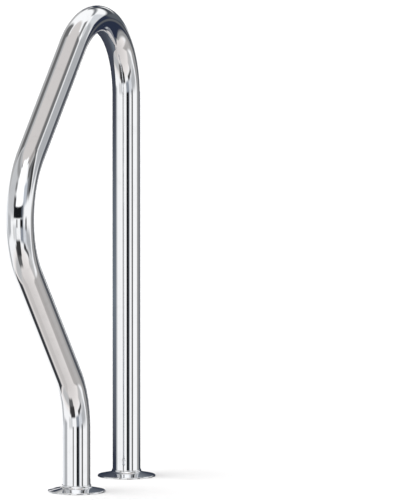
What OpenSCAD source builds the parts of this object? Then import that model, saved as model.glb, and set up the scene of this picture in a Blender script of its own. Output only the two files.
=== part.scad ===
// Grab rail: one bent tube standing on two round feet, each foot hidden by a loose cover.
// Millimetres, Z up. The origin is on the rear leg's axis, in the plane of the deck.
// The tube bends in the XZ plane only, and the rail reaches forward along +X.

/* [Tube] */
// Outer diameter of the tube
tube_d = 48.3; // [42.4:0.1:48.3]
// Wall thickness of the tube
tube_wall = 2; // [1.2:0.1:3]
// Centreline radius of all three bends
bend_r = 145; // [110:1:170]

/* [Run of the rail] */
// Distance between the axes of the two legs
leg_spacing = 225; // [180:1:260]
// Height above the deck at which the front leg starts to bend
front_rise = 109; // [80:1:150]
// Forward lean of the lower run, in degrees from vertical
front_lean = 42; // [35:0.5:46]
// Straight length of the lower run
lower_run = 260; // [200:1:300]
// Backward lean of the upper run, in degrees from vertical
back_lean = 47.5; // [44:0.5:52]

/* [Feet] */
// Diameter of the base plates and gaskets
plate_d = 76; // [76:0.5:77]
// Thickness of the base plates
plate_t = 3; // [2.5:0.1:3.3]
// Thickness of the gaskets under the base plates
gasket_t = 1; // [0.5:0.1:1.3]
// Diameter of the hole in the middle of each gasket
gasket_bore_d = 40; // [20:1:48]
// Leg length of the fillet weld around the foot of each leg
weld_leg = 2.5; // [1.5:0.1:2.5]
// Diameter of the circle that the screw holes stand on
screw_circle_d = 64; // [63.8:0.2:64.4]
// Number of screw holes in each foot
screw_count = 4; // [3:1:6]
// Diameter of each screw hole
screw_hole_d = 5.5; // [4.5:0.1:5.5]
// Diameter of each countersink at the top of the plate
countersink_d = 10.4; // [9:0.1:10.4]

/* [Covers] */
// Outer diameter of the covers
cover_d = 100; // [98:1:106]
// Thickness of the pressed sheet
cover_t = 0.8; // [0.6:0.1:0.9]
// Height of the upright rim, below its rounded shoulder
rim_h = 1.2; // [1:0.1:2]
// Radius of the rounded shoulder
shoulder_r = 1.6; // [1.2:0.1:2.4]
// Slope of the cover's top, in degrees from level
dome_slope = 12; // [11:0.5:16]
// Radius of the flare where the top turns up into the neck
flare_r = 4; // [3.5:0.5:6]
// Thickness of the rubber ring that grips the tube inside each neck
ring_t = 1.8; // [1.4:0.1:2]

/* [Hidden] */

$fn = 96;
rubber_fn = 32;
past = 1;              // how far a cutting shape runs past the face it cuts
plate_chamfer = 0.6;
cover_lift = 0.3;      // gap between the deck and the cover's rim
neck_gap = 0.5;        // radial gap between the tube and the cover's neck
bend_thinning = 0.03;  // how far bending draws in each face of the wall
bend_tuck = 0.3;       // length of each end of a bend that lies inside the straight wall
neck_h = 0.6;          // straight part of the neck, above the flare
arc_steps = 8;         // straight pieces in each arc of a cover's outline
ring_gap = 0.05;       // radial gap between the rubber ring and the tube

tube_r = tube_d / 2;
foot_z = gasket_t + plate_t;

// Straight lengths between each corner of the centreline and the ends of its bend
knee_tangent = bend_r * tan(front_lean / 2);
nose_tangent = bend_r * tan((front_lean + back_lean) / 2);
crown_tangent = bend_r / tan(back_lean / 2);

// The corner at the nose, and the height of the corner at the crown
nose_arm = knee_tangent + lower_run + nose_tangent;
nose_x = leg_spacing + nose_arm * sin(front_lean);
nose_z = front_rise + knee_tangent + nose_arm * cos(front_lean);
crown_z = nose_z + nose_x / tan(back_lean);
upper_run = nose_x / sin(back_lean) - nose_tangent - crown_tangent;
rear_rise = crown_z - crown_tangent;

// Profile of a cover: centres of the shoulder's and the flare's arcs, as [radius, height]
cover_r = cover_d / 2;
neck_r = tube_r + neck_gap + cover_t;
shoulder_centre = [cover_r - shoulder_r, cover_lift + rim_h];
flare_x = neck_r + flare_r;
flare_z = shoulder_centre[1] + (shoulder_r + flare_r) / cos(dome_slope)
    - (flare_x - shoulder_centre[0]) * tan(dome_slope);
flare_centre = [flare_x, flare_z];
neck_top = flare_z + neck_h;

// Points along an arc in the half plane [radius, height], from one angle to another
function arc(centre, r, from, to) = [
    for (i = [0 : arc_steps])
        let (angle = from + (to - from) * i / arc_steps)
            centre + r * [cos(angle), sin(angle)]
];

// One face of the cover's sheet, from its rim to its neck, moved into the metal by inset
function cover_face(inset) = concat(
    [[cover_r - inset, cover_lift]],
    arc(shoulder_centre, shoulder_r - inset, 0, 90 - dome_slope),
    arc(flare_centre, flare_r + inset, 270 - dome_slope, 180)
);

function reversed(list) = [for (i = [len(list) - 1 : -1 : 0]) list[i]];

// The rubber ring lies against the tube, just under the inside of the flare
ring_r = ring_t / 2;
ring_x = tube_r + ring_gap + ring_r;
ring_reach = flare_r + cover_t + ring_r + ring_gap;
ring_z = flare_z - sqrt(pow(ring_reach, 2) - pow(flare_x - ring_x, 2));

steel = [0.84, 0.86, 0.89];
weld_grey = [0.62, 0.62, 0.64];
rubber = [0.08, 0.08, 0.09];

// Straight length of tube along +Z. Its children go on from its far end.
module straight_tube(length) {
    linear_extrude(length) tube_section(0);
    translate([0, 0, length]) children();
}

// Bend that starts along +Z and turns towards +X, or towards -X for a negative angle. Bending has
// thinned its wall, and its ends tuck into the walls of the straight lengths on either side.
// Its children go on from its far end.
module bent_tube(angle) {
    turned = sign(angle);
    tuck = turned * asin(bend_tuck / bend_r);
    translate([turned * bend_r, 0, 0]) {
        rotate([90, 0, 0])
            rotate_extrude(angle = -angle - 2 * tuck, start = 90 + turned * 90 + tuck)
                translate([bend_r, 0])
                    tube_section(bend_thinning);
        rotate([0, angle, 0])
            translate([-turned * bend_r, 0, 0])
                children();
    }
}

// Section of the tube, with each face of the wall moved into the metal by thinning.
module tube_section(thinning) {
    difference() {
        circle(tube_r - thinning);
        circle(tube_r - tube_wall + thinning);
    }
}

module rail_tube() {
    color(steel)
        translate([leg_spacing, 0, foot_z])
            straight_tube(front_rise - foot_z) bent_tube(front_lean)
            straight_tube(lower_run) bent_tube(-front_lean - back_lean)
            straight_tube(upper_run) bent_tube(back_lean - 180)
            straight_tube(rear_rise - foot_z);
}

module weld() {
    color(weld_grey)
        rotate_extrude()
            polygon([[tube_r, foot_z], [tube_r + weld_leg, foot_z], [tube_r, foot_z + weld_leg]]);
}

module base_plate() {
    color(steel)
        difference() {
            union() {
                translate([0, 0, gasket_t])
                    cylinder(h = plate_t - plate_chamfer, d = plate_d);
                translate([0, 0, foot_z - plate_chamfer])
                    cylinder(h = plate_chamfer, d1 = plate_d, d2 = plate_d - 2 * plate_chamfer);
            }
            at_screws() countersunk_hole();
        }
}

module countersunk_hole() {
    sink_h = (countersink_d - screw_hole_d) / 2;
    cylinder(h = foot_z + past, d = screw_hole_d);
    translate([0, 0, foot_z - sink_h])
        cylinder(h = sink_h + past, d1 = screw_hole_d, d2 = countersink_d + 2 * past);
}

module gasket() {
    color(rubber)
        difference() {
            cylinder(h = gasket_t, d = plate_d);
            translate([0, 0, -past]) cylinder(h = gasket_t + 2 * past, d = gasket_bore_d);
            at_screws()
                translate([0, 0, -past]) cylinder(h = gasket_t + 2 * past, d = screw_hole_d);
        }
}

module at_screws() {
    for (i = [0 : screw_count - 1])
        rotate([0, 0, (i + 0.5) * 360 / screw_count])
            translate([screw_circle_d / 2, 0, 0])
                children();
}

module cover_ring() {
    color(rubber)
        translate([0, 0, ring_z])
            rotate_extrude()
                translate([ring_x, 0])
                    circle(ring_r, $fn = rubber_fn);
}

module cover() {
    color(steel)
        rotate_extrude()
            polygon(concat(
                cover_face(0),
                arc([neck_r - cover_t / 2, neck_top], cover_t / 2, 0, 180),
                reversed(cover_face(cover_t))
            ));
}

module at_front() {
    translate([leg_spacing, 0, 0]) children();
}

module front_weld() { at_front() weld(); }
module rear_weld() { weld(); }
module front_base_plate() { at_front() base_plate(); }
module rear_base_plate() { base_plate(); }
module front_gasket() { at_front() gasket(); }
module rear_gasket() { gasket(); }
module front_cover_ring() { at_front() cover_ring(); }
module rear_cover_ring() { cover_ring(); }
module front_cover() { at_front() cover(); }
module rear_cover() { cover(); }

rail_tube();
front_weld();
rear_weld();
front_base_plate();
rear_base_plate();
front_gasket();
rear_gasket();
front_cover_ring();
rear_cover_ring();
front_cover();
rear_cover();
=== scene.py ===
"""The looks of the grab rail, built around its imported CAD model. Metres, in the part's own frame."""

import math

import bpy
import numpy as np
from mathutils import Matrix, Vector


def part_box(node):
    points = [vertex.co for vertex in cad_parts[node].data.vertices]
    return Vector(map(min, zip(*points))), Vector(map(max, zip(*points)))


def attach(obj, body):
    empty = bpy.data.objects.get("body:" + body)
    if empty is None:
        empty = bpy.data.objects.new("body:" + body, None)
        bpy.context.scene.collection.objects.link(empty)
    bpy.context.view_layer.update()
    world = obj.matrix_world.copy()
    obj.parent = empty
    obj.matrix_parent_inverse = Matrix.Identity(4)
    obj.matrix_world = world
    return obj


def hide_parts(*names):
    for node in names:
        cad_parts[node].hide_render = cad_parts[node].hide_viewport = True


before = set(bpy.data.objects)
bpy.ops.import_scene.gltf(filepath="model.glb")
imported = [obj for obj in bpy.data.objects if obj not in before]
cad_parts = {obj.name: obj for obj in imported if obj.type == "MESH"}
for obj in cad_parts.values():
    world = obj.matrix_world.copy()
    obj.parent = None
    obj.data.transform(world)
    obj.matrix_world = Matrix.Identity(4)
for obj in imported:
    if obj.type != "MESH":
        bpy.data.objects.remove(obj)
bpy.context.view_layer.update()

MM = 0.001

# The run of the rail, as the part's source has it
BEND_RADIUS = 145 * MM
FRONT_RISE = 109 * MM
LOWER_RUN = 260 * MM
FRONT_LEAN = math.radians(42)
BACK_LEAN = math.radians(47.5)
TUBE_WALL = 2 * MM

# The profile of a cover, as the part's source has it
COVER_SHEET = 0.8 * MM
RIM_HEIGHT = 1.2 * MM
SHOULDER_RADIUS = 1.6 * MM
DOME_SLOPE = math.radians(12)
FLARE_RADIUS = 4 * MM
NECK_GAP = 0.5 * MM
NECK_HEIGHT = 0.6 * MM

# How finely the round surfaces are cut
TUBE_SIDES = 96
BEND_STEP = math.radians(1.5)
STRAIGHT_STEP = 20 * MM
LATHE_SIDES = 192
ARC_STEP = math.radians(5)

# The camera: where it stands, seen from the object, and what its picture is centred on
SENSOR = 36.0
VIEW_AZIMUTH = math.radians(22.645)
VIEW_ELEVATION = math.radians(6.622)
VIEW_DISTANCE = 30.0
VIEW_TARGET = Vector((0.150, 0.0, 0.430))
VIEW_HEIGHT = 0.8618
AIM_RIGHT = 0.1990
AIM_DOWN = 0.0193

# The floor reaches further than the camera stands away
FLOOR_REACH = 60.0

# How far the flags stand from the rear leg's axis
FLAG_DISTANCE = 0.13

# The colour of polished stainless steel
STEEL = (0.86, 0.868, 0.885)

FEET = ("front", "rear")


def foot_axis(foot):
    """The point where a leg's axis meets the deck."""
    low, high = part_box(f"{foot}_cover")
    return Vector(((low.x + high.x) / 2, (low.y + high.y) / 2, 0.0))


tube_low, tube_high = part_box("rail_tube")
TUBE_RADIUS = (tube_high.y - tube_low.y) / 2
FOOT_Z = tube_low.z
FRONT_X = foot_axis("front").x


# ---------------------------------------------------------------- meshes

def closed_sweep(name, rings, normals, flat_strips=()):
    """A closed surface through rings of points, where the last ring joins the first one again.
    The normals are the true ones at the points. Strips listed by their first ring are flat."""
    count, sides = rings.shape[:2]
    faces = []
    loop_normals = []
    inside_out = None
    for i in range(count):
        k = (i + 1) % count
        for j in range(sides):
            m = (j + 1) % sides
            corners = [(i, j), (k, j), (k, m), (i, m)]
            a, b, c, d = (rings[corner] for corner in corners)
            across = np.cross(c - a, d - b)
            length = np.linalg.norm(across)
            if inside_out is None:
                inside_out = float(across @ normals[i, j]) < 0
            if inside_out:
                corners.reverse()
                across = -across
            faces.append([p * sides + q for p, q in corners])
            if i in flat_strips:
                loop_normals.extend([tuple(across / length)] * 4)
            else:
                loop_normals.extend(tuple(normals[corner]) for corner in corners)
    mesh = bpy.data.meshes.new(name)
    mesh.from_pydata(rings.reshape(-1, 3).tolist(), [], faces)
    mesh.polygons.foreach_set("use_smooth", [True] * len(faces))
    mesh.normals_split_custom_set(loop_normals)
    mesh.update()
    piece = bpy.data.objects.new(name, mesh)
    bpy.context.scene.collection.objects.link(piece)
    return piece


def arc(centre, radius, start, end):
    """Points along an arc in the half plane (radius, height), each with its normal.
    A negative radius turns the normals towards the centre."""
    steps = max(2, math.ceil(abs(end - start) / ARC_STEP))
    points = []
    for i in range(steps + 1):
        angle = start + (end - start) * i / steps
        out = np.array([math.cos(angle), math.sin(angle)])
        points.append((np.array(centre) + abs(radius) * out, math.copysign(1, radius) * out))
    return points


def lathe(name, profile, axis, sides=LATHE_SIDES):
    """A closed profile turned about a vertical axis. The piece's own origin is on the axis."""
    turn = np.arange(sides) * 2 * math.pi / sides
    rings = np.zeros((len(profile), sides, 3))
    normals = np.zeros_like(rings)
    for i, (point, normal) in enumerate(profile):
        for array, pair in ((rings, point), (normals, normal)):
            array[i, :, 0] = pair[0] * np.cos(turn)
            array[i, :, 1] = pair[0] * np.sin(turn)
            array[i, :, 2] = pair[1]
    piece = closed_sweep(name, rings, normals)
    piece.location = axis
    return piece


# ---------------------------------------------------------------- the rail

def rail_centreline():
    """Stations along the tube's centreline, as (x, z, heading, length so far).
    The heading is the angle from straight up, towards +X."""
    knee = BEND_RADIUS * math.tan(FRONT_LEAN / 2)
    nose = BEND_RADIUS * math.tan((FRONT_LEAN + BACK_LEAN) / 2)
    crown = BEND_RADIUS / math.tan(BACK_LEAN / 2)
    arm = knee + LOWER_RUN + nose
    nose_x = FRONT_X + arm * math.sin(FRONT_LEAN)
    nose_z = FRONT_RISE + knee + arm * math.cos(FRONT_LEAN)
    upper_run = nose_x / math.sin(BACK_LEAN) - nose - crown
    rear_rise = nose_z + nose_x / math.tan(BACK_LEAN) - crown

    stations = [(FRONT_X, FOOT_Z, 0.0, 0.0)]

    def straight(length):
        x, z, heading, run = stations[-1]
        steps = math.ceil(length / STRAIGHT_STEP)
        for i in range(1, steps + 1):
            t = length * i / steps
            stations.append((x + t * math.sin(heading), z + t * math.cos(heading), heading, run + t))

    def bend(angle):
        x, z, heading, run = stations[-1]
        side = math.copysign(BEND_RADIUS, angle)
        centre_x = x + side * math.cos(heading)
        centre_z = z - side * math.sin(heading)
        steps = math.ceil(abs(angle) / BEND_STEP)
        for i in range(1, steps + 1):
            turned = heading + angle * i / steps
            stations.append((
                centre_x - side * math.cos(turned),
                centre_z + side * math.sin(turned),
                turned,
                run + abs(angle) * BEND_RADIUS * i / steps,
            ))

    straight(FRONT_RISE - FOOT_Z)
    bend(FRONT_LEAN)
    straight(LOWER_RUN)
    bend(-FRONT_LEAN - BACK_LEAN)
    straight(upper_run)
    bend(BACK_LEAN - math.pi)
    straight(rear_rise - FOOT_Z)
    return stations


def rail_tube():
    """The bent tube with its inner wall. Its attribute "unrolled" is each point's place on the
    same tube laid out straight, so that the polish follows the bends."""
    stations = rail_centreline()
    turn = np.arange(TUBE_SIDES) * 2 * math.pi / TUBE_SIDES
    rings = []
    normals = []
    unrolled = []
    for radius, way in ((TUBE_RADIUS, 1), (TUBE_RADIUS - TUBE_WALL, -1)):
        for x, z, heading, run in stations[::way]:
            out = np.zeros((TUBE_SIDES, 3))
            out[:, 0] = math.cos(heading) * np.cos(turn)
            out[:, 1] = np.sin(turn)
            out[:, 2] = -math.sin(heading) * np.cos(turn)
            rings.append(np.array([x, 0, z]) + radius * out)
            normals.append(way * out)
            straightened = np.zeros((TUBE_SIDES, 3))
            straightened[:, 0] = radius * np.cos(turn)
            straightened[:, 1] = radius * np.sin(turn)
            straightened[:, 2] = run
            unrolled.append(straightened)
    ends = (len(stations) - 1, 2 * len(stations) - 1)
    piece = closed_sweep("polished_rail", np.array(rings), np.array(normals), ends)
    attribute = piece.data.attributes.new("unrolled", "FLOAT_VECTOR", "POINT")
    attribute.data.foreach_set("vector", np.array(unrolled, np.float32).ravel())
    return piece


# ---------------------------------------------------------------- the feet

def cover_profile(low, high):
    """The closed outline of a cover's sheet, outer face first, with rounded edges."""
    outer = high.x - (low.x + high.x) / 2
    lip = COVER_SHEET / 2
    neck = TUBE_RADIUS + NECK_GAP + COVER_SHEET
    shoulder = np.array([outer - SHOULDER_RADIUS, low.z + RIM_HEIGHT])
    flare_x = neck + FLARE_RADIUS
    flare_z = (shoulder[1] + (SHOULDER_RADIUS + FLARE_RADIUS) / math.cos(DOME_SLOPE)
               - (flare_x - shoulder[0]) * math.tan(DOME_SLOPE))
    flare = np.array([flare_x, flare_z])
    top = flare_z + NECK_HEIGHT
    quarter = math.pi / 2
    return (
        arc((outer - lip, low.z + lip), lip, -quarter, 0)
        + arc(shoulder, SHOULDER_RADIUS, 0, quarter - DOME_SLOPE)
        + arc(flare, -FLARE_RADIUS, 3 * quarter - DOME_SLOPE, math.pi)
        + arc((neck - lip, top), lip, 0, math.pi)
        + arc(flare, FLARE_RADIUS + COVER_SHEET, math.pi, 3 * quarter - DOME_SLOPE)
        + arc(shoulder, COVER_SHEET - SHOULDER_RADIUS, quarter - DOME_SLOPE, 0)
        + arc((outer - lip, low.z + lip), lip, math.pi, 3 * quarter)
    )


def cover(foot):
    low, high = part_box(f"{foot}_cover")
    return lathe(f"{foot}_pressed_cover", cover_profile(low, high), foot_axis(foot))


def rubber_ring(foot):
    """A moulded ring with the fine flash line that the mould leaves round it, inside and out."""
    low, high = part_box(f"{foot}_cover_ring")
    radius = (high.z - low.z) / 2
    centre = ((high.x - low.x) / 2 - radius, (high.z + low.z) / 2)
    flash = 0.04 * MM
    profile = []
    for point, normal in arc(centre, radius, -math.pi, math.pi)[:-1]:
        pull = flash * max(0.0, 1 - abs(point[1] - centre[1]) / (4 * flash))
        profile.append((point - normal * (flash - pull), normal))
    return lathe(f"{foot}_grip_ring", profile, foot_axis(foot), sides=144)


def weld_bead(foot):
    """A fillet laid in overlapping ripples around the foot of the leg."""
    low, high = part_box(f"{foot}_weld")
    leg = high.z - low.z
    ripples = 96
    steps_per_ripple = 8
    across = 12
    ripple_height = 0.10 * MM
    # The bead fills most of the plain fillet, and its foot reaches a little into the tube's wall
    fill = 0.97
    root = 0.2 * MM
    # How far its face bulges, and the share of that which goes outwards, and upwards
    bulge = 0.16
    slant = 0.7
    sides = ripples * steps_per_ripple
    turn = np.arange(sides) * 2 * math.pi / sides
    section = []
    for i in range(across + 1):
        t = i / across
        # A gently crowned face from the tube down to the plate
        crown = bulge * leg * 4 * t * (1 - t)
        section.append((TUBE_RADIUS + leg * t * fill + crown * slant,
                        low.z + leg * fill * (1 - t) + crown * slant, t))
    section.append((TUBE_RADIUS - root, low.z, None))
    section.append((TUBE_RADIUS - root, low.z + leg * fill, None))
    rings = np.zeros((len(section), sides, 3))
    for i, (r, z, t) in enumerate(section):
        lift = np.zeros(sides)
        if t is not None:
            # Each ripple is a crescent: its crest trails behind at the toes of the bead
            phase = ripples * turn - 1.9 * (2 * t - 1) ** 2
            wander = 0.35 * np.sin(5 * turn + 2.1) + 0.25 * np.sin(11 * turn)
            lift = ripple_height * (0.5 + 0.5 * np.cos(phase + wander)) ** 0.6 * math.sin(math.pi * t)
        rings[i, :, 0] = (r + lift * slant) * np.cos(turn)
        rings[i, :, 1] = (r + lift * slant) * np.sin(turn)
        rings[i, :, 2] = z + lift * slant
    along = np.roll(rings, -1, axis=1) - np.roll(rings, 1, axis=1)
    over = np.roll(rings, -1, axis=0) - np.roll(rings, 1, axis=0)
    normals = np.cross(along, over)
    normals /= np.linalg.norm(normals, axis=2, keepdims=True)
    middle = across // 2
    if normals[middle, 0, 0] < 0:
        normals = -normals
    flat = (across, across + 1, across + 2)
    piece = closed_sweep(f"{foot}_weld_bead", rings, normals, flat)
    piece.location = foot_axis(foot)
    return piece


# ---------------------------------------------------------------- materials

class Graph:
    """Short ways to make and join the nodes of one material."""

    def __init__(self, tree):
        self.tree = tree
        tree.nodes.clear()

    def add(self, kind, inputs=None, **settings):
        node = self.tree.nodes.new(kind)
        for name, value in settings.items():
            setattr(node, name, value)
        for name, value in (inputs or {}).items():
            self.feed(node.inputs[name], value)
        return node

    def feed(self, socket, value):
        if isinstance(value, bpy.types.NodeSocket):
            self.tree.links.new(value, socket)
        else:
            socket.default_value = value

    def math(self, operation, *values, clamp=False):
        node = self.add("ShaderNodeMath", operation=operation, use_clamp=clamp)
        for socket, value in zip(node.inputs, values):
            self.feed(socket, value)
        return node.outputs[0]

    def remap(self, value, low, high, to_low=0.0, to_high=1.0, kind="SMOOTHSTEP"):
        node = self.add("ShaderNodeMapRange", {
            "Value": value, "From Min": low, "From Max": high, "To Min": to_low, "To Max": to_high,
        }, interpolation_type=kind)
        return node.outputs["Result"]

    def noise(self, vector, scale, detail=2.0, roughness=0.5, distortion=0.0):
        return self.add("ShaderNodeTexNoise", {
            "Vector": vector, "Scale": scale, "Detail": detail, "Roughness": roughness,
            "Distortion": distortion,
        }).outputs["Fac"]

    def radius(self, vector):
        """The distance from the vertical axis."""
        parts = self.add("ShaderNodeSeparateXYZ", {"Vector": vector})
        x, y = parts.outputs["X"], parts.outputs["Y"]
        return self.math("SQRT", self.math("ADD", self.math("MULTIPLY", x, x),
                                           self.math("MULTIPLY", y, y)))

    def stretch(self, vector, scale):
        return self.add("ShaderNodeMapping", {"Vector": vector, "Scale": scale}).outputs["Vector"]

    def mix(self, factor, a, b):
        node = self.add("ShaderNodeMix", data_type="RGBA")
        self.feed(node.inputs[0], factor)
        self.feed(node.inputs[6], a)
        self.feed(node.inputs[7], b)
        return node.outputs[2]

    def ramp(self, value, *stops):
        node = self.add("ShaderNodeValToRGB", {"Fac": value})
        elements = node.color_ramp.elements
        while len(elements) < len(stops):
            elements.new(0.5)
        for element, (position, colour) in zip(elements, stops):
            element.position = position
            element.color = (*colour, 1.0)
        return node.outputs["Color"]

    def bump(self, height, distance, normal=None, strength=1.0):
        inputs = {"Height": height, "Distance": distance, "Strength": strength}
        if normal is not None:
            inputs["Normal"] = normal
        return self.add("ShaderNodeBump", inputs).outputs["Normal"]


def material(name):
    made = bpy.data.materials.new(name)
    made.use_nodes = True
    return made, Graph(made.node_tree)


def finish_shader(graph, **inputs):
    shader = graph.add("ShaderNodeBsdfPrincipled", {
        name.replace("_", " "): value for name, value in inputs.items()
    })
    graph.add("ShaderNodeOutputMaterial", {"Surface": shader.outputs["BSDF"]})


def mirror_polish(graph, place, lines):
    """Buffed stainless steel: its colour, roughness and normal. place is in metres, and lines is
    place squeezed along the buffing marks."""
    smudges = graph.remap(graph.noise(place, 38, 4, 0.55, 0.6), 0.50, 0.72)
    spots = graph.remap(graph.noise(place, 420, 2, 0.5), 0.70, 0.76)
    hairlines = graph.noise(lines, 900, 3, 0.6)
    fine = graph.remap(hairlines, 0.35, 0.75, 0.0, 1.0, "LINEAR")
    rough = graph.math("ADD", 0.028, graph.math("MULTIPLY", fine, 0.022))
    rough = graph.math("ADD", rough, graph.math("MULTIPLY", smudges, 0.030))
    rough = graph.math("ADD", rough, graph.math("MULTIPLY", spots, 0.05))
    dull = graph.math("ADD", graph.math("MULTIPLY", smudges, 0.5), graph.math("MULTIPLY", spots, 0.5))
    dulled = tuple(channel * 0.93 for channel in STEEL)
    tint = graph.mix(dull, (*STEEL, 1.0), (*dulled, 1.0))
    waves = graph.noise(place, 34, 1, 0.4)
    normal = graph.bump(waves, 0.035 * MM)
    normal = graph.bump(hairlines, 0.0006 * MM, normal)
    return tint, rough, normal


def polished_tube_material():
    made, graph = material("mirror_polished_tube")
    attribute = graph.add("ShaderNodeAttribute", attribute_name="unrolled")
    place = attribute.outputs["Vector"]
    lines = graph.stretch(place, (1.0, 1.0, 0.06))
    tint, rough, normal = mirror_polish(graph, place, lines)
    # Heat tint from the weld, in the lowest few millimetres of each leg
    height = graph.add("ShaderNodeSeparateXYZ", {
        "Vector": graph.add("ShaderNodeTexCoord").outputs["Object"],
    }).outputs["Z"]
    wander = graph.math("MULTIPLY", graph.noise(place, 160), 0.002)
    heat = graph.remap(graph.math("ADD", height, wander), FOOT_Z + 1 * MM, FOOT_Z + 7 * MM,
                       kind="LINEAR")
    oxide = graph.ramp(heat,
                       (0.00, (0.30, 0.26, 0.22)), (0.22, (0.20, 0.26, 0.50)), (0.38, (0.36, 0.22, 0.34)),
                       (0.58, (0.72, 0.52, 0.24)), (0.80, (0.84, 0.78, 0.62)), (1.00, STEEL))
    tint = graph.mix(graph.remap(heat, 0.90, 1.0), oxide, tint)
    finish_shader(graph, Base_Color=tint, Metallic=1.0, Roughness=rough, Normal=normal)
    return made


def polished_cover_material():
    """Spun and buffed sheet: the marks run round the cover."""
    made, graph = material("mirror_polished_cover")
    place = graph.add("ShaderNodeTexCoord").outputs["Object"]
    parts = graph.add("ShaderNodeSeparateXYZ", {"Vector": place})
    angle = graph.math("ARCTAN2", parts.outputs["Y"], parts.outputs["X"])
    lines = graph.add("ShaderNodeCombineXYZ", {
        "X": graph.radius(place), "Y": graph.math("MULTIPLY", graph.math("COSINE", angle), 0.002),
        "Z": parts.outputs["Z"],
    }).outputs["Vector"]
    tint, rough, normal = mirror_polish(graph, place, lines)
    finish_shader(graph, Base_Color=tint, Metallic=1.0, Roughness=rough, Normal=normal)
    return made


def turned_steel_material(name, axis):
    """Lathe-turned stainless steel, with its tool marks in rings round the axis."""
    made, graph = material(name)
    place = graph.add("ShaderNodeTexCoord").outputs["Object"]
    shift = graph.add("ShaderNodeVectorMath", operation="SUBTRACT")
    graph.feed(shift.inputs[0], place)
    graph.feed(shift.inputs[1], tuple(axis))
    local = shift.outputs[0]
    radius = graph.radius(local)
    marks = graph.math("SINE", graph.math("MULTIPLY", radius, 2 * math.pi / (0.45 * MM)))
    chatter = graph.noise(local, 220, 3, 0.6)
    tint = graph.mix(chatter, (0.60, 0.60, 0.61, 1.0), (0.70, 0.705, 0.715, 1.0))
    stain = graph.remap(graph.noise(local, 55, 4, 0.6, 0.4), 0.52, 0.70)
    tint = graph.mix(graph.math("MULTIPLY", stain, 0.35), tint, (0.46, 0.43, 0.38, 1.0))
    # Straw and blue rings that the heat of the weld leaves around the foot of the leg
    heat = graph.remap(radius, TUBE_RADIUS + 2.5 * MM, TUBE_RADIUS + 9 * MM, kind="LINEAR")
    oxide = graph.ramp(heat, (0.0, (0.26, 0.24, 0.26)), (0.3, (0.28, 0.27, 0.42)),
                       (0.55, (0.58, 0.44, 0.24)), (1.0, (0.66, 0.66, 0.66)))
    tint = graph.mix(graph.remap(heat, 0.6, 1.0), oxide, tint)
    rough = graph.math("ADD", 0.24, graph.math("MULTIPLY", chatter, 0.16))
    normal = graph.bump(marks, 0.004 * MM)
    normal = graph.bump(chatter, 0.01 * MM, normal)
    finish_shader(graph, Base_Color=tint, Metallic=1.0, Roughness=rough, Normal=normal)
    return made


def weld_material():
    made, graph = material("tig_weld_bead")
    place = graph.add("ShaderNodeTexCoord").outputs["Object"]
    cloud = graph.noise(place, 300, 4, 0.6)
    tint = graph.ramp(cloud, (0.30, (0.42, 0.40, 0.40)), (0.50, (0.60, 0.56, 0.50)),
                      (0.62, (0.46, 0.46, 0.56)), (0.75, (0.68, 0.66, 0.62)))
    rough = graph.math("ADD", 0.22, graph.math("MULTIPLY", cloud, 0.3))
    normal = graph.bump(graph.noise(place, 2600, 3, 0.6), 0.02 * MM)
    finish_shader(graph, Base_Color=tint, Metallic=1.0, Roughness=rough, Normal=normal)
    return made


def rubber_material(name, grain, gloss):
    """Black rubber with a fine grain and a little bloom. A lower gloss is a rougher sheet."""
    made, graph = material(name)
    place = graph.add("ShaderNodeTexCoord").outputs["Object"]
    speckle = graph.noise(place, grain, 3, 0.6)
    bloom = graph.remap(graph.noise(place, 90, 4, 0.6), 0.45, 0.75)
    tint = graph.mix(bloom, (0.018, 0.018, 0.020, 1.0), (0.060, 0.060, 0.064, 1.0))
    rough = graph.math("ADD", 0.80 - gloss, graph.math("MULTIPLY", speckle, 0.18))
    normal = graph.bump(speckle, 0.05 * MM)
    finish_shader(graph, Base_Color=tint, Roughness=rough, Normal=normal)
    return made


def coat(piece, made):
    piece.data.materials.clear()
    piece.data.materials.append(made)


# ---------------------------------------------------------------- the pieces

def place_piece(piece, made, body, replaced):
    coat(piece, made)
    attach(piece, body)
    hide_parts(replaced)


place_piece(rail_tube(), polished_tube_material(), "rail", "rail_tube")
cover_steel = polished_cover_material()
bead_steel = weld_material()
sheet_rubber = rubber_material("gasket_sheet_rubber", 1800, 0.10)
ring_rubber = rubber_material("moulded_ring_rubber", 3200, 0.35)
for side in FEET:
    place_piece(cover(side), cover_steel, f"{side}_cover", f"{side}_cover")
    place_piece(rubber_ring(side), ring_rubber, f"{side}_ring", f"{side}_cover_ring")
    place_piece(weld_bead(side), bead_steel, "rail", f"{side}_weld")
    plate = turned_steel_material(f"{side}_plate_turned_steel", foot_axis(side))
    coat(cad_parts[f"{side}_base_plate"], plate)
    coat(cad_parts[f"{side}_gasket"], sheet_rubber)


# ---------------------------------------------------------------- the studio

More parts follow.
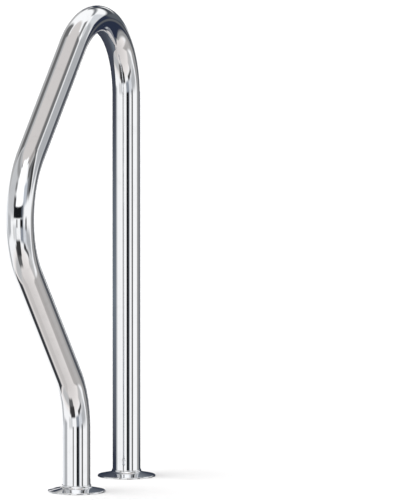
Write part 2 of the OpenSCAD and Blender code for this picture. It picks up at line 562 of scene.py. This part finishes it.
def studio_world():
    """A light room, as the polished steel sees it: pale floor and ceiling, a large soft window
    behind the camera with a black sill, grey walls and narrow dark posts. Angles are in degrees,
    around from the camera's side and up from level. Rays from the camera see plain white."""
    world = bpy.data.worlds.new("studio")
    bpy.context.scene.world = world
    world.use_nodes = True
    graph = Graph(world.node_tree)
    direction = graph.add("ShaderNodeTexCoord").outputs["Generated"]
    turned = graph.add("ShaderNodeVectorRotate", {
        "Vector": direction, "Angle": -VIEW_AZIMUTH,
    }, rotation_type="Z_AXIS").outputs["Vector"]
    parts = graph.add("ShaderNodeSeparateXYZ", {"Vector": turned})
    degrees = 180 / math.pi
    bearing = graph.math("ARCTAN2", parts.outputs["Y"], parts.outputs["X"])
    around = graph.math("MULTIPLY", bearing, degrees)
    height = graph.math("MULTIPLY", graph.math("ARCSINE", parts.outputs["Z"]), degrees)

    def within(value, low, high, soft):
        rises = graph.remap(value, low - soft / 2, low + soft / 2)
        falls = graph.remap(value, high - soft / 2, high + soft / 2, 1.0, 0.0)
        return graph.math("MULTIPLY", rises, falls)

    def grey(level, cool=0.0):
        return (level * (1 - cool), level, level * (1 + 1.5 * cool))

    def warm(level):
        return (level * 1.04, level * 0.99, level * 0.96)

    NAVY = (0.026, 0.034, 0.062)

    light = graph.ramp(
        graph.remap(height, -90, 90, kind="LINEAR"),
        (0.00, warm(0.68)), (0.08, warm(0.72)), (0.17, warm(0.78)), (0.27, warm(0.90)),
        (0.33, grey(1.05)), (0.85, grey(1.10)), (0.88, warm(0.70)), (1.00, warm(0.68)))

    def card(colour, around_span, height_span, soft=4.0, rise=0.0, strength=1.0):
        """A patch of one colour. A slanting one rises by so many degrees for each degree around."""
        nonlocal light
        level = height
        if rise:
            middle = sum(around_span) / 2
            level = graph.math("SUBTRACT", height, graph.math(
                "MULTIPLY", graph.math("SUBTRACT", around, middle), rise))
        mask = graph.math("MULTIPLY", within(around, *around_span, soft),
                          within(level, *height_span, soft))
        if strength < 1:
            mask = graph.math("MULTIPLY", mask, strength)
        light = graph.mix(mask, light, (*colour, 1.0))

    # The front edge of the ceiling, lower than the rest
    card(grey(0.22), (-124, 60), (54.5, 60), 3)
    card(warm(0.68), (-122, 92), (58, 92), 3)
    card(warm(0.60), (-126, -60), (-95, -66), 12)
    # The far side, above: pale walls with slate and grey between them
    card(grey(0.48), (-250, -114), (2, 28), 12)
    card(grey(0.16), (-152, -120), (26, 60), 9)
    card(grey(0.24, 0.03), (134, 184), (30, 37), 6, rise=-0.25)
    card(grey(0.075, 0.10), (131, 176), (9, 22), 6, rise=0.60)
    # The far side, below: a dark floor with a light streak in it
    card(grey(0.36), (114, 130), (-60, -14), 8)
    card(grey(0.12, 0.10), (126, 250), (-78, -40), 10)
    card(grey(0.12, 0.10), (-250, -128), (-72, -48), 12)
    card(grey(0.17, 0.08), (114, 250), (-15, 5), 10)
    card(NAVY, (124, 250), (-58, 7), 6)
    card(NAVY, (121, 137), (0, 12), 5)
    card(grey(0.58, 0.03), (148, 156), (-66, -24), 5)
    card(grey(0.90, 0.02), (-250, -117), (-26, 2), 8)
    card(grey(0.50, 0.02), (-150, -121), (-28, -10), 6)
    card(grey(0.045, 0.08), (-250, -126), (-56, -33), 7)
    card(grey(1.05), (-250, -144), (-42, -12), 5)
    card(NAVY, (171, 250), (3.5, 22), 5)
    card(NAVY, (-250, -171), (3.5, 22), 5)
    card(grey(0.95), (-250, -170), (11.5, 15), 2.5)
    card(grey(0.12, 0.10), (136, 180), (-1, 10), 5)
    card(grey(0.12, 0.05), (120, 149), (-9.5, -2.5), 4)
    card(grey(1.05), (148, 250), (-11, 0), 4)
    card(grey(1.05), (-250, -139), (-20, 3.5), 5)
    # Left wall
    card(grey(0.62, 0.01), (-122, -50), (-2, 58), 12)
    card(grey(0.50, 0.02), (-116, -82), (-17, -1), 6)
    card(grey(0.34), (-116, -44), (40, 52), 8)
    card(grey(0.24), (-62, -45), (25, 37), 8)
    card(grey(0.56), (-114, -50), (-66, -44), 10)
    # Right wall, its light upper edge and the dark line above
    card(grey(0.76, 0.02), (112, 135), (12, 37), 6)
    card(grey(0.48, 0.02), (86, 116), (4, 36), 6)
    card(grey(0.74, 0.01), (96, 109), (30, 43), 6)
    card(grey(0.18), (70, 84), (38, 60), 6)
    card(grey(0.20), (84, 122), (47, 57), 7)
    # Floor to the right
    card(grey(0.34), (99, 124), (-19, -3), 6)
    card(warm(0.40), (82, 118), (-39, -27), 6, rise=1.07, strength=0.85)
    # To the right of the window
    card(warm(0.40), (34, 72), (46, 60), 8)
    card(grey(0.16), (38, 80), (29, 45), 8)
    card(grey(0.60, 0.06), (20, 50), (8, 30), 6)
    card(grey(0.22, 0.03), (47, 66), (10, 34), 9)
    card(grey(0.050), (62, 79), (8, 34), 8)
    # Window, with its post on the left and the black sill below
    card(grey(1.25), (-38, 21), (9, 66), 4)
    card(grey(0.08), (-59, -39), (8, 21), 7)
    card(grey(0.011, 0.1), (-54, 21), (-2.5, 10.5), 2.5)
    card(grey(0.14, 0.15), (9, 31), (-2.5, 11), 10, strength=0.7)
    # Things on the floor below the sill
    card(grey(0.50), (-62, -47), (-26, -10), 8, strength=0.6)
    card(grey(0.58, 0.02), (-46, -31), (-28, -10), 7, strength=0.7)
    card(grey(0.33, 0.08), (2, 27), (-28, -3), 6)
    card(grey(0.76, 0.03), (28, 50), (-27, -10), 7)
    card(grey(0.50, 0.02), (50, 88), (-25, -11), 8)
    card(grey(0.30), (56, 92), (-42, -26), 8, strength=0.6)
    card(grey(0.13), (-52, -8), (-60, -32), 8)
    card(grey(0.045), (-41, -3), (-46, -27), 5)
    card(grey(0.10), (25, 62), (-33.5, -28), 4)
    card(grey(0.045), (26, 44), (-33, -26), 5, strength=0.8)
    card(grey(0.25), (-31, -21), (-13, -3.5), 3)
    card(grey(0.014, 0.1), (1, 21), (-12.5, -3.5), 4)
    card(grey(0.10), (44, 56), (-13, -3.5), 4)

    seen = graph.add("ShaderNodeBackground", {"Color": (1.0, 1.0, 1.0, 1.0), "Strength": 1.0})
    lit = graph.add("ShaderNodeBackground", {"Color": light, "Strength": 1.0})
    from_camera = graph.add("ShaderNodeLightPath").outputs["Is Camera Ray"]
    switch = graph.add("ShaderNodeMixShader", {"Fac": from_camera})
    graph.feed(switch.inputs[1], lit.outputs[0])
    graph.feed(switch.inputs[2], seen.outputs[0])
    graph.add("ShaderNodeOutputWorld", {"Surface": switch.outputs[0]})


def flag(name, around_span, *stops):
    """An upright card near the rear leg, between two angles around from the camera's side. Only
    the polished steel sees it. Each stop is a height and the card's colour there."""
    axis = foot_axis("rear")
    low, high = stops[0][0], stops[-1][0]
    corners = []
    for around, levels in zip(around_span, ((low, high), (high, low))):
        angle = VIEW_AZIMUTH + math.radians(around)
        x = axis.x + FLAG_DISTANCE * math.cos(angle)
        y = axis.y + FLAG_DISTANCE * math.sin(angle)
        corners.extend((x, y, z) for z in levels)
    mesh = bpy.data.meshes.new(name)
    mesh.from_pydata(corners, [], [(0, 1, 2, 3)])
    made = bpy.data.objects.new(name, mesh)
    bpy.context.scene.collection.objects.link(made)
    made.visible_camera = False
    made.visible_diffuse = False
    made.visible_shadow = False
    shade, graph = material(name)
    height = graph.add("ShaderNodeSeparateXYZ", {
        "Vector": graph.add("ShaderNodeTexCoord").outputs["Object"],
    }).outputs["Z"]
    colour = graph.ramp(graph.remap(height, low, high, kind="LINEAR"),
                        *(((z - low) / (high - low), tone) for z, tone in stops))
    glow = graph.add("ShaderNodeEmission", {"Color": colour, "Strength": 1.0})
    graph.add("ShaderNodeOutputMaterial", {"Surface": glow.outputs[0]})
    coat(made, shade)


def studio_floor():
    """A plain pale floor. It stays out of the reflections, which show the room's own floor."""
    mesh = bpy.data.meshes.new("floor")
    corners = [(-FLOOR_REACH, -FLOOR_REACH, 0), (FLOOR_REACH, -FLOOR_REACH, 0),
               (FLOOR_REACH, FLOOR_REACH, 0), (-FLOOR_REACH, FLOOR_REACH, 0)]
    mesh.from_pydata(corners, [], [(0, 1, 2, 3)])
    floor = bpy.data.objects.new("floor", mesh)
    bpy.context.scene.collection.objects.link(floor)
    floor.visible_glossy = False
    made, graph = material("pale_floor")
    finish_shader(graph, Base_Color=(0.92, 0.92, 0.92, 1.0), Roughness=0.9, Specular_IOR_Level=0.0)
    coat(floor, made)


def soft_key():
    light = bpy.data.lights.new("soft_key", "SUN")
    light.angle = math.radians(50)
    light.energy = 1.9
    lamp = bpy.data.objects.new("soft_key", light)
    lamp.rotation_euler = (math.radians(25), math.radians(20), 0)
    lamp.visible_glossy = False
    bpy.context.scene.collection.objects.link(lamp)


def camera():
    to_camera = Vector((
        math.cos(VIEW_AZIMUTH) * math.cos(VIEW_ELEVATION),
        math.sin(VIEW_AZIMUTH) * math.cos(VIEW_ELEVATION),
        math.sin(VIEW_ELEVATION),
    ))
    right = Vector((0, 0, 1)).cross(to_camera).normalized()
    up = to_camera.cross(right)
    aim = VIEW_TARGET + right * AIM_RIGHT - up * AIM_DOWN
    data = bpy.data.cameras.new("camera")
    data.sensor_width = SENSOR
    data.lens = SENSOR * VIEW_DISTANCE / VIEW_HEIGHT
    data.clip_end = 100
    made = bpy.data.objects.new("camera", data)
    made.location = VIEW_TARGET + to_camera * VIEW_DISTANCE
    made.rotation_euler = (aim - made.location).to_track_quat("-Z", "Y").to_euler()
    bpy.context.scene.collection.objects.link(made)
    bpy.context.scene.camera = made


studio_world()
flag("left_flag", (-180, -88), (-0.05, (0.030, 0.038, 0.060)), (0.02, (0.034, 0.042, 0.065)),
     (0.08, (0.095, 0.105, 0.130)), (0.30, (0.170, 0.200, 0.235)), (0.48, (0.130, 0.150, 0.180)),
     (0.62, (0.070, 0.078, 0.100)), (0.80, (0.035, 0.042, 0.065)))
flag("right_flag", (126, 180), (-0.05, (0.030, 0.038, 0.060)), (0.02, (0.034, 0.042, 0.065)),
     (0.08, (0.20, 0.22, 0.25)), (0.66, (0.25, 0.26, 0.29)))
studio_floor()
soft_key()
camera()
bpy.context.scene.view_settings.view_transform = "Standard"
